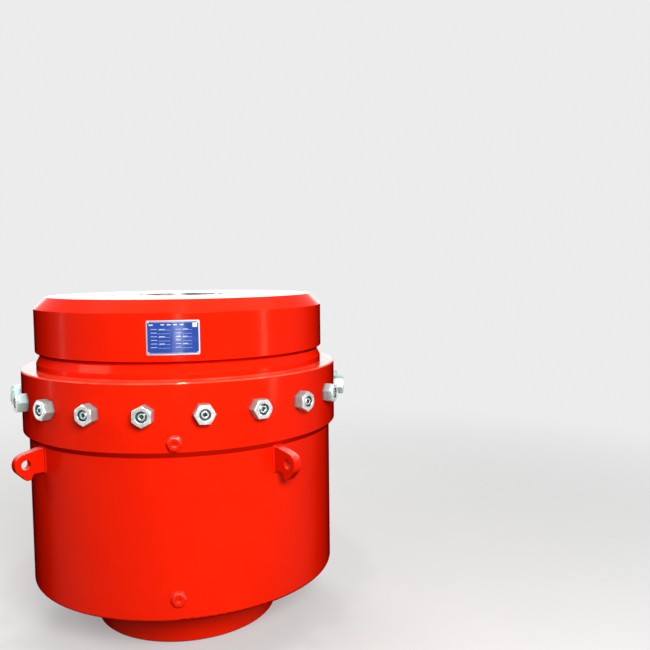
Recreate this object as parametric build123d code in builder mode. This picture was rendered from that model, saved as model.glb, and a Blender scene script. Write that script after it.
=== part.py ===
from build123d import *
import os
from math import acos, atan2, cos, hypot, radians, sin, tan

# Annular blowout preventer with a latched head.
# It stands on its bottom flange: +Z is up the bore, z = 0 is the flange's raised face and
# the front, with the nameplate and both hydraulic ports, faces -Y. All sizes are millimetres.

# Through bore
bore_diameter = 346.1

# Heights that stack up from the face of the bottom flange
flange_thickness = 204.7
underside_gap = 40.3
lower_body_length = 702.0
upper_body_length = 316.0
head_standing_height = 337.0

# Bottom flange: ring-joint flange for a 13-5/8 in bore at 15 000 psi
flange_diameter = 885.8
flange_edge_distance = 57.05
flange_edge_chamfer = 6.0
flange_bolt_count = 20
flange_hole_diameter = 60.5
raised_face_margin = 54.35
raised_face_height = 6.4
neck_to_bolt_circle = 88.15
neck_fillet = 20.0

# Ring groove of both end connections
ring_groove_land = 16.25
ring_groove_width = 27.0
ring_groove_depth = 15.9
ring_groove_slope = 23.0

# Studded top connection: 13-5/8 in at 10 000 psi
groove_to_stud_circle = 120.25
top_stud_count = 20
top_hole_diameter = 47.6
top_hole_depth = 78.0

# Body outside
nut_recess_overhang = 22.1
nut_recess_depth = 48.0
upper_wall = 77.0
shoulder_step = 27.5
rim_radius = 14.0
body_edge_chamfer = 5.0
painted_edge_radius = 3.0

# Body inside
chamber_diameter = 1180.0
ledge_width = 50.0
ledge_gap = 5.0
floor_thickness = 165.0
sleeve_pocket_depth = 30.0

# Head
head_overhang = 60.0
head_top_chamfer = 55.0
head_groove_rise = 63.0
head_groove_depth = 23.0
head_groove_upper_rise = 17.0
head_groove_lower_drop = 37.0
head_skirt_step = 4.0
head_spigot_clearance = 1.0
head_spigot_length = 223.0
head_inner_clearance = 14.0
packing_seat_drop = 183.0

# Latch: segments pushed into the head by radial screws through hexagonal gland nuts
latch_drop = 129.0
latch_count = 20
latch_tooth_depth = 25.0
latch_segment_height = 70.0
latch_segment_width = 54.0
latch_segment_gap_angle = 3.0
latch_groove_depth = 48.0
latch_clearance = 0.4
gland_across_flats = 80.0
gland_standing = 50.0
gland_shank_diameter = 56.0
gland_shank_setback = 12.9
gland_mouth_diameter = 48.0
gland_mouth_depth = 14.0
gland_bevel_inset = 2.5
gland_turns = (0, 0, 30, 44, 8, 52, 21, 37, 3, 48, 26, 11, 57, 33, 18, 41, 6, 50, 30, 27)
hexagon_bevel_slope = 30.0
hexagon_overcut = 2.0
spot_face_margin = 3.8
spot_face_sink = 0.4
hole_overlap = 1.0
screw_diameter = 36.0
screw_recess = 4.0
screw_socket_across_flats = 17.0
screw_socket_depth = 16.0
thread_clearance = 0.3

# Packing unit: rubber ring with steel inserts
packing_bore_clearance = 2.95
packing_height = 320.0
packing_top_diameter = 966.0
packing_collar_height = 140.0
packing_foot_diameter = 660.0
insert_count = 12
insert_thickness = 24.0
insert_flange_thickness = 30.0
insert_setback = 3.0
insert_web_setback = 39.0
insert_web_lip = 18.0
insert_top_margin = 43.0
insert_foot_margin = 12.0

# Piston and body sleeve
sleeve_bore_clearance = 1.95
sleeve_wall = 60.0
sleeve_top_gap = 12.0
piston_clearance = 0.8
piston_flange_height = 130.0
piston_flange_taper = 20.0
piston_bowl_lip = 14.0

# Lifting padeyes
padeye_count = 4
padeye_first_angle = 36.0
padeye_hole_diameter = 42.0
padeye_hole_offset = 84.5
padeye_hole_drop = 63.0
padeye_shoulder_gap = 2.0
padeye_eye_radius = 49.0
padeye_thickness = 40.0
padeye_root_height = 108.0
padeye_root_reach = 27.5
padeye_toe_drop = 26.0
padeye_toe_width = 20.0
padeye_toe_lean = 10.0
padeye_toe_slope = 45.0
padeye_toe_radius = 8.0
padeye_throat_radius = 12.0
padeye_seat_gap = 0.3

# Hydraulic ports, closed with hexagonal plugs
opening_port_rise = 65.0
closing_port_rise = 100.0
port_diameter = 48.0
port_depth = 50.0
port_spot_diameter = 78.0
port_spot_sink = 3.0
plug_across_flats = 55.0
plug_head_height = 26.0
plug_bevel_inset = 1.5
plug_end_gap = 10.0
plug_socket_diameter = 20.0
plug_socket_depth = 9.0

# Nameplate and its rivets
plate_width = 220.0
plate_height = 144.0
plate_thickness = 2.0
plate_groove_gap = 28.0
plate_seat_gap = 0.2
rivet_head_diameter = 9.0
rivet_head_height = 2.0
rivet_inset = 8.0


def hexagon_corner_radius(across_flats):
    """Radius of the circle through a hexagon's corners."""
    return across_flats / 2 / cos(radians(30))


# Heights worked out from the stack
body_underside_height = flange_thickness + underside_gap
shoulder_height = body_underside_height + lower_body_length
body_top_height = shoulder_height + upper_body_length
overall_height = body_top_height + head_standing_height
nut_recess_height = body_underside_height + nut_recess_depth
chamber_floor_height = body_underside_height + floor_thickness
sleeve_bottom_height = chamber_floor_height - sleeve_pocket_depth
head_bottom_height = body_top_height - head_spigot_length
ledge_height = head_bottom_height - ledge_gap
latch_height = body_top_height - latch_drop
latch_half_height = latch_segment_height / 2 + latch_clearance
packing_seat_height = body_top_height - packing_seat_drop
packing_bottom_height = packing_seat_height - packing_height
packing_waist_height = packing_seat_height - packing_collar_height
sleeve_top_height = packing_bottom_height - sleeve_top_gap
head_groove_apex_height = body_top_height + head_groove_rise
head_groove_lip_height = head_groove_apex_height + head_groove_upper_rise
head_skirt_lip_height = head_groove_apex_height - head_groove_lower_drop
padeye_top_height = shoulder_height - padeye_shoulder_gap
padeye_hole_height = padeye_top_height - padeye_hole_drop
padeye_foot_height = padeye_top_height - padeye_root_height
padeye_toe_height = padeye_foot_height - padeye_toe_drop
opening_port_height = shoulder_height + opening_port_rise
closing_port_height = body_underside_height + closing_port_rise
plate_centre_height = head_groove_lip_height + plate_groove_gap + plate_height / 2

# Radii of the end connections, from the bore and the flange's edge
bore_radius = bore_diameter / 2
ring_groove_inner_radius = bore_radius + ring_groove_land
ring_groove_outer_radius = ring_groove_inner_radius + ring_groove_width
raised_face_radius = ring_groove_outer_radius + raised_face_margin
flange_radius = flange_diameter / 2
bolt_circle_radius = flange_radius - flange_edge_distance
neck_radius = bolt_circle_radius - neck_to_bolt_circle
nut_recess_radius = flange_radius + nut_recess_overhang
stud_circle_radius = ring_groove_outer_radius + groove_to_stud_circle

# Radii of the body and head, from the chamber outwards
chamber_radius = chamber_diameter / 2
head_socket_radius = chamber_radius + ledge_width
latch_groove_radius = head_socket_radius + latch_groove_depth
upper_body_radius = latch_groove_radius + upper_wall
lower_body_radius = upper_body_radius - shoulder_step
head_radius = head_socket_radius + head_overhang
head_skirt_radius = head_radius - head_skirt_step
head_groove_radius = head_radius - head_groove_depth
head_spigot_radius = head_socket_radius - head_spigot_clearance
head_tooth_radius = head_spigot_radius - latch_tooth_depth
packing_top_radius = packing_top_diameter / 2
head_inner_radius = packing_top_radius + head_inner_clearance

# Radii of the latch
latch_pitch = 360 / latch_count
segment_inner_radius = head_tooth_radius + latch_clearance
segment_outer_radius = segment_inner_radius + latch_segment_width
gland_face_radius = upper_body_radius + gland_standing
spot_radius = hexagon_corner_radius(gland_across_flats) + spot_face_margin
spot_face_radius = (upper_body_radius ** 2 - spot_radius ** 2) ** 0.5 - spot_face_sink
gland_head_length = gland_face_radius - spot_face_radius
gland_shank_length = spot_face_radius - latch_groove_radius - gland_shank_setback
screw_inner_radius = segment_outer_radius + thread_clearance
screw_outer_radius = gland_face_radius - screw_recess

# Radii of the packing unit, sleeve and piston
packing_bore_radius = bore_radius + packing_bore_clearance
packing_foot_radius = packing_foot_diameter / 2
insert_tip_radius = packing_bore_radius + insert_setback
insert_web_inner_radius = packing_bore_radius + insert_web_setback
insert_foot_outer_radius = packing_foot_radius - insert_foot_margin
insert_web_outer_radius = insert_foot_outer_radius - insert_web_lip
insert_top_outer_radius = packing_top_radius - insert_top_margin
sleeve_bore_radius = bore_radius + sleeve_bore_clearance
sleeve_radius = sleeve_bore_radius + sleeve_wall
piston_inner_radius = sleeve_radius + piston_clearance
piston_flange_radius = chamber_radius - piston_clearance
piston_wall_radius = packing_top_radius + piston_bowl_lip
bowl_top_radius = packing_top_radius + piston_clearance
bowl_foot_radius = packing_foot_radius + piston_clearance

# Ports, padeyes and nameplate
port_spot_radius = port_spot_diameter / 2
port_spot_radius_upper = (upper_body_radius ** 2 - port_spot_radius ** 2) ** 0.5 - port_spot_sink
port_spot_radius_lower = (lower_body_radius ** 2 - port_spot_radius ** 2) ** 0.5 - port_spot_sink
plug_shank_length = port_depth - plug_end_gap
padeye_hole_radius = lower_body_radius + padeye_hole_offset
padeye_root_radius = lower_body_radius - padeye_thickness
padeye_top_radius = lower_body_radius + padeye_root_reach
plate_inner_radius = head_radius + plate_seat_gap
plate_outer_radius = plate_inner_radius + plate_thickness
plate_arc = plate_width / plate_outer_radius / radians(1)


def outward(angle, height, radius):
    """Plane facing away from the axis, at an angle from the front counted towards +X."""
    turn = radians(angle - 90)
    direction = Vector(cos(turn), sin(turn), 0)
    tangent = Vector(-sin(turn), cos(turn), 0)
    return Plane(origin=direction * radius + Vector(0, 0, height), x_dir=tangent, z_dir=direction)


def upright(angle):
    """Plane that holds the axis, with its x away from the axis at an angle from the front."""
    turn = radians(angle - 90)
    direction = Vector(cos(turn), sin(turn), 0)
    return Plane(origin=(0, 0, 0), x_dir=direction, z_dir=(direction.Y, -direction.X, 0))


def latch_angles():
    """Angles of the latch screws, which straddle the front."""
    return [latch_pitch * (index + 0.5) for index in range(latch_count)]


def ring_groove_profile(face_height, inward):
    """Closed section of a ring groove cut from a face, with inward +1 up or -1 down."""
    lean = ring_groove_depth * tan(radians(ring_groove_slope)) / 2
    root = face_height + inward * ring_groove_depth
    return [
        (ring_groove_inner_radius, face_height),
        (ring_groove_outer_radius, face_height),
        (ring_groove_outer_radius - lean, root),
        (ring_groove_inner_radius + lean, root),
    ]


def tangent_point(start, centre, radius):
    """Point where the line from start meets a circle as its upper tangent."""
    across = centre[0] - start[0]
    down = start[1] - centre[1]
    reach = hypot(across, down)
    turn = atan2(down, -across) - acos(radius / reach)
    return centre[0] + radius * cos(turn), centre[1] + radius * sin(turn)


def bevel_profile(face_radius, height, across_flats, inset):
    """Triangle that a turn about a hexagon's own axis cuts from its corners, on an upright plane."""
    rim = across_flats / 2 - inset
    beyond = hexagon_corner_radius(across_flats) + hexagon_overcut
    depth = (beyond - rim) * tan(radians(hexagon_bevel_slope))
    outer_height = height + beyond
    return [(face_radius, height + rim), (face_radius, outer_height), (face_radius - depth, outer_height)]


os.makedirs("parts", exist_ok=True)

# Body: one forging with the bottom flange, neck, pressure chamber and head socket
body_section = [
    (bore_radius, 0),
    (raised_face_radius, 0),
    (raised_face_radius, raised_face_height),
    (flange_radius - flange_edge_chamfer, raised_face_height),
    (flange_radius, raised_face_height + flange_edge_chamfer),
    (flange_radius, flange_thickness - flange_edge_chamfer),
    (flange_radius - flange_edge_chamfer, flange_thickness),
    (neck_radius, flange_thickness),
    (neck_radius, nut_recess_height),
    (nut_recess_radius, nut_recess_height),
    (nut_recess_radius + nut_recess_depth, body_underside_height),
    (lower_body_radius, body_underside_height),
    (lower_body_radius, shoulder_height),
    (upper_body_radius, shoulder_height + shoulder_step),
    (upper_body_radius, body_top_height - body_edge_chamfer),
    (upper_body_radius - body_edge_chamfer, body_top_height),
    (head_socket_radius, body_top_height),
    (head_socket_radius, latch_height + latch_half_height),
    (latch_groove_radius, latch_height + latch_half_height),
    (latch_groove_radius, latch_height - latch_half_height),
    (head_socket_radius, latch_height - latch_half_height),
    (head_socket_radius, ledge_height),
    (chamber_radius, ledge_height),
    (chamber_radius, chamber_floor_height),
    (sleeve_radius + thread_clearance, chamber_floor_height),
    (sleeve_radius + thread_clearance, sleeve_bottom_height),
    (bore_radius, sleeve_bottom_height),
]
body_corners = [
    ((lower_body_radius, body_underside_height), rim_radius),
    ((neck_radius, flange_thickness), neck_fillet),
    ((neck_radius, nut_recess_height), neck_fillet),
    ((nut_recess_radius, nut_recess_height), painted_edge_radius),
    ((nut_recess_radius + nut_recess_depth, body_underside_height), painted_edge_radius),
    ((lower_body_radius, shoulder_height), painted_edge_radius),
    ((upper_body_radius, shoulder_height + shoulder_step), painted_edge_radius),
]
with BuildPart() as body:
    with BuildSketch(Plane.XZ) as body_half:
        with BuildLine():
            Polyline(*body_section, close=True)
        make_face()
        for corner, radius in body_corners:
            fillet(body_half.vertices().sort_by_distance(Vector(*corner))[0], radius)
    revolve(axis=Axis.Z)
    with BuildSketch(Plane.XZ):
        with BuildLine():
            Polyline(*ring_groove_profile(0, 1), close=True)
        make_face()
    revolve(axis=Axis.Z, mode=Mode.SUBTRACT)
    with BuildSketch(Plane.XY):
        with PolarLocations(bolt_circle_radius, flange_bolt_count, start_angle=180 / flange_bolt_count):
            Circle(flange_hole_diameter / 2)
    extrude(amount=flange_thickness, mode=Mode.SUBTRACT)
    with BuildSketch(*[outward(angle, latch_height, spot_face_radius) for angle in latch_angles()]):
        Circle(spot_radius)
    extrude(amount=upper_body_radius - spot_face_radius, mode=Mode.SUBTRACT)
    with BuildSketch(*[outward(angle, latch_height, spot_face_radius) for angle in latch_angles()]):
        Circle(gland_shank_diameter / 2 + thread_clearance)
    extrude(amount=latch_groove_radius - spot_face_radius - hole_overlap, mode=Mode.SUBTRACT)
    ports = (
        (opening_port_height, port_spot_radius_upper, upper_body_radius),
        (closing_port_height, port_spot_radius_lower, lower_body_radius),
    )
    for port_height, seat_radius, skin_radius in ports:
        with BuildSketch(outward(0, port_height, seat_radius)):
            Circle(port_spot_radius)
        extrude(amount=skin_radius - seat_radius, mode=Mode.SUBTRACT)
        with BuildSketch(outward(0, port_height, seat_radius)):
            Circle(port_diameter / 2)
        extrude(amount=-port_depth, mode=Mode.SUBTRACT)
body.part.label = "body"
export_step(body.part, "parts/body.step")

# Head: turned cap with a chamfered rim, a V groove and the toothed spigot that the latch holds
head_section = [
    (bore_radius, overall_height),
    (head_radius - head_top_chamfer, overall_height),
    (head_radius, overall_height - head_top_chamfer),
    (head_radius, head_groove_lip_height),
    (head_groove_radius, head_groove_apex_height),
    (head_skirt_radius, head_skirt_lip_height),
    (head_skirt_radius, body_top_height),
    (head_spigot_radius, body_top_height),
    (head_spigot_radius, latch_height + latch_half_height),
    (head_tooth_radius, latch_height + latch_half_height),
    (head_tooth_radius, latch_height - latch_half_height),
    (head_spigot_radius, latch_height - latch_half_height),
    (head_spigot_radius, head_bottom_height),
    (head_inner_radius, head_bottom_height),
    (head_inner_radius, packing_seat_height),
    (bore_radius, packing_seat_height),
]
head_corners = [
    (head_radius - head_top_chamfer, overall_height),
    (head_radius, overall_height - head_top_chamfer),
    (head_radius, head_groove_lip_height),
    (head_groove_radius, head_groove_apex_height),
    (head_skirt_radius, head_skirt_lip_height),
]
with BuildPart() as head:
    with BuildSketch(Plane.XZ) as head_half:
        with BuildLine():
            Polyline(*head_section, close=True)
        make_face()
        for corner in head_corners:
            fillet(head_half.vertices().sort_by_distance(Vector(*corner))[0], painted_edge_radius)
    revolve(axis=Axis.Z)
    with BuildSketch(Plane.XZ):
        with BuildLine():
            Polyline(*ring_groove_profile(overall_height, -1), close=True)
        make_face()
    revolve(axis=Axis.Z, mode=Mode.SUBTRACT)
    with BuildSketch(Plane.XY.offset(overall_height)):
        with PolarLocations(stud_circle_radius, top_stud_count, start_angle=180 / top_stud_count):
            Circle(top_hole_diameter / 2)
    extrude(amount=-top_hole_depth, mode=Mode.SUBTRACT)
head.part.label = "head"
export_step(head.part, "parts/head.step")

# Latch segments: arc blocks in the body's groove, each with its tooth in the head
with BuildPart() as latch_segments:
    with BuildSketch(Plane.XY.offset(latch_height - latch_segment_height / 2)):
        for angle in latch_angles():
            arc = latch_pitch - latch_segment_gap_angle
            with BuildLine():
                first = CenterArc((0, 0), segment_inner_radius, angle - 90 - arc / 2, arc)
                second = CenterArc((0, 0), segment_outer_radius, angle - 90 - arc / 2, arc)
                Line(first @ 0, second @ 0)
                Line(first @ 1, second @ 1)
            make_face()
    extrude(amount=latch_segment_height)
latch_segments.part.label = "latch_segments"
export_step(latch_segments.part, "parts/latch_segments.step")

# Gland nuts: threaded hexagonal bushings that carry the latch screws
for index, angle in enumerate(latch_angles()):
    turn = gland_turns[index % len(gland_turns)]
    with BuildPart() as gland_nut:
        with BuildSketch(outward(angle, latch_height, spot_face_radius)):
            RegularPolygon(gland_across_flats / 2, 6, major_radius=False, rotation=turn)
        extrude(amount=gland_head_length)
        with BuildSketch(upright(angle)):
            with BuildLine():
                bevel = bevel_profile(gland_face_radius, latch_height, gland_across_flats, gland_bevel_inset)
                Polyline(*bevel, close=True)
            make_face()
        revolve(axis=Axis((0, 0, latch_height), upright(angle).x_dir), mode=Mode.SUBTRACT)
        with BuildSketch(outward(angle, latch_height, spot_face_radius)):
            Circle(gland_shank_diameter / 2)
        extrude(amount=-gland_shank_length)
        with BuildSketch(outward(angle, latch_height, gland_face_radius)):
            Circle(screw_diameter / 2 + thread_clearance)
        extrude(amount=-(gland_head_length + gland_shank_length), mode=Mode.SUBTRACT)
        with BuildSketch(outward(angle, latch_height, gland_face_radius)):
            Circle(gland_mouth_diameter / 2)
        extrude(amount=-gland_mouth_depth, mode=Mode.SUBTRACT)
    gland_nut.part.label = f"latch_gland_nut_{index + 1:02d}"
    export_step(gland_nut.part, f"parts/latch_gland_nut_{index + 1:02d}.step")

# Latch screws: one round screw through each gland nut, with a hexagon socket in its end
with BuildPart() as latch_screws:
    with BuildSketch(*[outward(angle, latch_height, screw_inner_radius) for angle in latch_angles()]):
        Circle(screw_diameter / 2)
    extrude(amount=screw_outer_radius - screw_inner_radius)
    with BuildSketch(*[outward(angle, latch_height, screw_outer_radius) for angle in latch_angles()]):
        RegularPolygon(screw_socket_across_flats / 2, 6, major_radius=False)
    extrude(amount=-screw_socket_depth, mode=Mode.SUBTRACT)
latch_screws.part.label = "latch_screws"
export_step(latch_screws.part, "parts/latch_screws.step")

# Packing inserts: flanged steel ribs bonded into the rubber
insert_section = [
    (insert_tip_radius, packing_seat_height),
    (insert_top_outer_radius, packing_seat_height),
    (insert_top_outer_radius, packing_seat_height - insert_flange_thickness),
    (insert_web_outer_radius, packing_seat_height - insert_flange_thickness),
    (insert_web_outer_radius, packing_bottom_height + insert_flange_thickness),
    (insert_foot_outer_radius, packing_bottom_height + insert_flange_thickness),
    (insert_foot_outer_radius, packing_bottom_height),
    (insert_tip_radius, packing_bottom_height),
    (insert_tip_radius, packing_bottom_height + insert_flange_thickness),
    (insert_web_inner_radius, packing_bottom_height + insert_flange_thickness),
    (insert_web_inner_radius, packing_seat_height - insert_flange_thickness),
    (insert_tip_radius, packing_seat_height - insert_flange_thickness),
]
insert_pitch = 360 / insert_count
insert_planes = [upright(insert_pitch * (index + 0.5)) for index in range(insert_count)]
with BuildPart() as packing_inserts:
    with BuildSketch(*insert_planes):
        with BuildLine():
            Polyline(*insert_section, close=True)
        make_face()
    extrude(amount=insert_thickness / 2, both=True)
packing_inserts.part.label = "packing_inserts"
export_step(packing_inserts.part, "parts/packing_inserts.step")

# Packing rubber: tapered ring round the bore, with a pocket for each insert
packing_section = [
    (packing_bore_radius, packing_bottom_height),
    (packing_foot_radius, packing_bottom_height),
    (packing_top_radius, packing_waist_height),
    (packing_top_radius, packing_seat_height),
    (packing_bore_radius, packing_seat_height),
]
with BuildPart() as packing_rubber:
    with BuildSketch(Plane.XZ):
        with BuildLine():
            Polyline(*packing_section, close=True)
        make_face()
    revolve(axis=Axis.Z)
    with BuildSketch(*insert_planes):
        with BuildLine():
            Polyline(*insert_section, close=True)
        make_face()
    extrude(amount=insert_thickness / 2, both=True, mode=Mode.SUBTRACT)
packing_rubber.part.label = "packing_rubber"
export_step(packing_rubber.part, "parts/packing_rubber.step")

# Piston: stands on the chamber floor and carries the packing unit in its bowl
piston_flange_top = chamber_floor_height + piston_flange_height
piston_section = [
    (piston_inner_radius, chamber_floor_height),
    (piston_flange_radius, chamber_floor_height),
    (piston_flange_radius, piston_flange_top),
    (piston_wall_radius, piston_flange_top + piston_flange_taper),
    (piston_wall_radius, packing_waist_height),
    (bowl_top_radius, packing_waist_height),
    (bowl_foot_radius, packing_bottom_height),
    (piston_inner_radius, packing_bottom_height),
]
with BuildPart() as piston:
    with BuildSketch(Plane.XZ):
        with BuildLine():
            Polyline(*piston_section, close=True)
        make_face()
    revolve(axis=Axis.Z)
piston.part.label = "piston"
export_step(piston.part, "parts/piston.step")

# Body sleeve: stands in its pocket in the chamber floor and guides the piston
with BuildPart() as body_sleeve:
    with BuildSketch(Plane.XY.offset(sleeve_bottom_height)):
        Circle(sleeve_radius)
        Circle(sleeve_bore_radius, mode=Mode.SUBTRACT)
    extrude(amount=sleeve_top_height - sleeve_bottom_height)
body_sleeve.part.label = "body_sleeve"
export_step(body_sleeve.part, "parts/body_sleeve.step")

# Padeyes: lifting plates on the lower body, below the shoulder, each with a toe under its eye
eye_centre = (padeye_hole_radius, padeye_hole_height)
eye_turn = radians(padeye_toe_slope)
eye_low_radius = padeye_hole_radius + padeye_eye_radius * sin(eye_turn)
eye_low_height = padeye_hole_height - padeye_eye_radius * cos(eye_turn)
toe_outer_radius = eye_low_radius - (eye_low_height - padeye_toe_height) / tan(eye_turn)
toe_inner_radius = toe_outer_radius - padeye_toe_width
throat_corner = (toe_inner_radius - padeye_toe_lean, padeye_foot_height)
padeye_section = [
    (padeye_root_radius, padeye_top_height),
    (padeye_top_radius, padeye_top_height),
    tangent_point((padeye_top_radius, padeye_top_height), eye_centre, padeye_eye_radius),
    eye_centre,
    (eye_low_radius, eye_low_height),
    (toe_outer_radius, padeye_toe_height),
    (toe_inner_radius, padeye_toe_height),
    throat_corner,
    (padeye_root_radius, padeye_foot_height),
]
padeye_corners = [
    ((toe_outer_radius, padeye_toe_height), padeye_toe_radius),
    ((toe_inner_radius, padeye_toe_height), padeye_toe_radius),
    (throat_corner, padeye_throat_radius),
]
for index in range(padeye_count):
    angle = padeye_first_angle + 360 / padeye_count * index
    with BuildPart() as padeye:
        with BuildSketch(upright(angle)) as padeye_outline:
            with Locations(eye_centre):
                Circle(padeye_eye_radius)
            with BuildLine():
                Polyline(*padeye_section, close=True)
            make_face()
            for corner, radius in padeye_corners:
                fillet(padeye_outline.vertices().sort_by_distance(Vector(*corner))[0], radius)
        extrude(amount=padeye_thickness / 2, both=True)
        cheeks = padeye.faces().sort_by(Axis(origin=(0, 0, 0), direction=upright(angle).z_dir))
        fillet(cheeks[0].edges() + cheeks[-1].edges(), painted_edge_radius)
        with BuildSketch(upright(angle)):
            with Locations(eye_centre):
                Circle(padeye_hole_diameter / 2)
        extrude(amount=padeye_thickness, both=True, mode=Mode.SUBTRACT)
        with BuildSketch(Plane.XY.offset(body_underside_height)):
            Circle(lower_body_radius + padeye_seat_gap)
        extrude(amount=lower_body_length, mode=Mode.SUBTRACT)
    padeye.part.label = f"padeye_{index + 1}"
    export_step(padeye.part, f"parts/padeye_{index + 1}.step")

# Port plugs: hexagonal plugs screwed into the hydraulic ports
for name, port_height, seat_radius in (
    ("opening_port_plug", opening_port_height, port_spot_radius_upper),
    ("closing_port_plug", closing_port_height, port_spot_radius_lower),
):
    plug_face_radius = seat_radius + plug_head_height
    with BuildPart() as port_plug:
        with BuildSketch(outward(0, port_height, seat_radius)):
            RegularPolygon(plug_across_flats / 2, 6, major_radius=False)
        extrude(amount=plug_head_height)
        with BuildSketch(upright(0)):
            with BuildLine():
                bevel = bevel_profile(plug_face_radius, port_height, plug_across_flats, plug_bevel_inset)
                Polyline(*bevel, close=True)
            make_face()
        revolve(axis=Axis((0, 0, port_height), upright(0).x_dir), mode=Mode.SUBTRACT)
        with BuildSketch(outward(0, port_height, seat_radius)):
            Circle(port_diameter / 2 - thread_clearance)
        extrude(amount=-plug_shank_length)
        with BuildSketch(outward(0, port_height, plug_face_radius)):
            Circle(plug_socket_diameter / 2)
        extrude(amount=-plug_socket_depth, mode=Mode.SUBTRACT)
    port_plug.part.label = name
    export_step(port_plug.part, f"parts/{name}.step")

# Nameplate: bare plate bent round the head, level with the front
with BuildPart() as name_plate:
    with BuildSketch(Plane.XY.offset(plate_centre_height - plate_height / 2)):
        with BuildLine():
            inner_arc = CenterArc((0, 0), plate_inner_radius, -90 - plate_arc / 2, plate_arc)
            outer_arc = CenterArc((0, 0), plate_outer_radius, -90 - plate_arc / 2, plate_arc)
            Line(inner_arc @ 0, outer_arc @ 0)
            Line(inner_arc @ 1, outer_arc @ 1)
        make_face()
    extrude(amount=plate_height)
name_plate.part.label = "name_plate"
export_step(name_plate.part, "parts/name_plate.step")

# Rivets: one low round head in each corner of the nameplate
rivet_angle = plate_arc / 2 - rivet_inset / plate_outer_radius / radians(1)
rivet_rise = plate_height / 2 - rivet_inset
rivet_places = [
    outward(side * rivet_angle, plate_centre_height + level * rivet_rise, plate_outer_radius)
    for side in (-1, 1)
    for level in (-1, 1)
]
with BuildPart() as name_plate_rivets:
    with BuildSketch(*rivet_places):
        Circle(rivet_head_diameter / 2)
    extrude(amount=rivet_head_height)
name_plate_rivets.part.label = "name_plate_rivets"
export_step(name_plate_rivets.part, "parts/name_plate_rivets.step")
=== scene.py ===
import random
from math import ceil, cos, degrees, hypot, pi, radians, sin, sqrt, tan

import bpy
from mathutils import Matrix, Vector


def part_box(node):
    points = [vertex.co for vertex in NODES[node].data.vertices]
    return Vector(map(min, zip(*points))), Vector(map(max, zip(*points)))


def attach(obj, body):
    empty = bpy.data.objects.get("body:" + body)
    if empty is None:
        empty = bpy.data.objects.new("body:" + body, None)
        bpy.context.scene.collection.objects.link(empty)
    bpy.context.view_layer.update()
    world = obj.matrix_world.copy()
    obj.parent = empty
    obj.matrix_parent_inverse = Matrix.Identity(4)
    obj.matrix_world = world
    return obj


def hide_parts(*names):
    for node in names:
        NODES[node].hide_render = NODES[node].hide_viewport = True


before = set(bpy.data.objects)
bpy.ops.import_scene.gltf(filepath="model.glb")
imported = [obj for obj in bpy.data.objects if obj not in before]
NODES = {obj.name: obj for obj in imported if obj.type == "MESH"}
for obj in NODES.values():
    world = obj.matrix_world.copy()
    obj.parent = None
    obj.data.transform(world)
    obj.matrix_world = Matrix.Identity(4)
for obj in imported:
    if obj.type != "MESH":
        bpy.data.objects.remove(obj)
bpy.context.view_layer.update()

MM = 0.001

# Sizes read from the frame, in metres
BODY_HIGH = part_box("body")[1]
HEAD_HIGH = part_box("head")[1]
BODY_RADIUS = BODY_HIGH.x
BODY_TOP = BODY_HIGH.z
HEAD_RADIUS = HEAD_HIGH.x
HEAD_TOP = HEAD_HIGH.z
LATCH_HEIGHT = sum(corner.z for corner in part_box("latch_screws")) / 2

# Gaps and shells too thin to see
HAIR = 0.01 * MM

# Hexagonal gland nuts, screws and plugs
LATCH_COUNT = 20
LATCH_STEP = 360 / LATCH_COUNT
NUT_ACROSS_FLATS = 80 * MM
NUT_CORNER = 1.0 * MM
NUT_SOFT_EDGE = 0.5 * MM
NUT_FACE_RADIUS = BODY_RADIUS + 50 * MM
NUT_SEAT_RADIUS = 762.97 * MM
NUT_SHANK_RADIUS = 28 * MM
NUT_SHANK_LENGTH = 62 * MM
NUT_MOUTH_RADIUS = 24 * MM
NUT_MOUTH_DEPTH = 14 * MM
NUT_BORE_RADIUS = 18.3 * MM
NUT_TURNS = (0, 0, 30, 44, 8, 52, 21, 37, 3, 48, 26, 11, 57, 33, 18, 41, 6, 50, 30, 27)
SCREW_RADIUS = 18 * MM
SCREW_RECESS = 4 * MM
SCREW_SOCKET_ACROSS_FLATS = 17 * MM
SCREW_SOCKET_DEPTH = 16 * MM
SCREW_INNER_RADIUS = 667.7 * MM
SCREW_PITCH = 2.0 * MM
SCREW_THREADS = 6
PLUG_ACROSS_FLATS = 55 * MM
PLUG_CORNER = 2.6 * MM
PLUG_BEVEL_SLOPE = radians(33)
PLUG_BEVEL_INSET = 2.2 * MM
PLUG_HEAD = 26 * MM
PLUG_SHANK_RADIUS = 23.7 * MM
PLUG_SHANK_LENGTH = 40 * MM
PLUG_SOCKET_RADIUS = 10 * MM
PLUG_SOCKET_DEPTH = 9 * MM
HEXAGON_BEVEL_SLOPE = radians(30)
HEXAGON_BEVEL_INSET = 2.5 * MM


def outward(angle, radius, height):
    """Matrix of a place, angle in degrees from the front: x tangential, y up, z away from the axis."""
    turn = radians(angle - 90)
    direction = Vector((cos(turn), sin(turn), 0))
    tangent = Vector((-sin(turn), cos(turn), 0))
    matrix = Matrix((tangent, Vector((0, 0, 1)), direction)).transposed().to_4x4()
    matrix.translation = direction * radius + Vector((0, 0, height))
    return matrix


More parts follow.
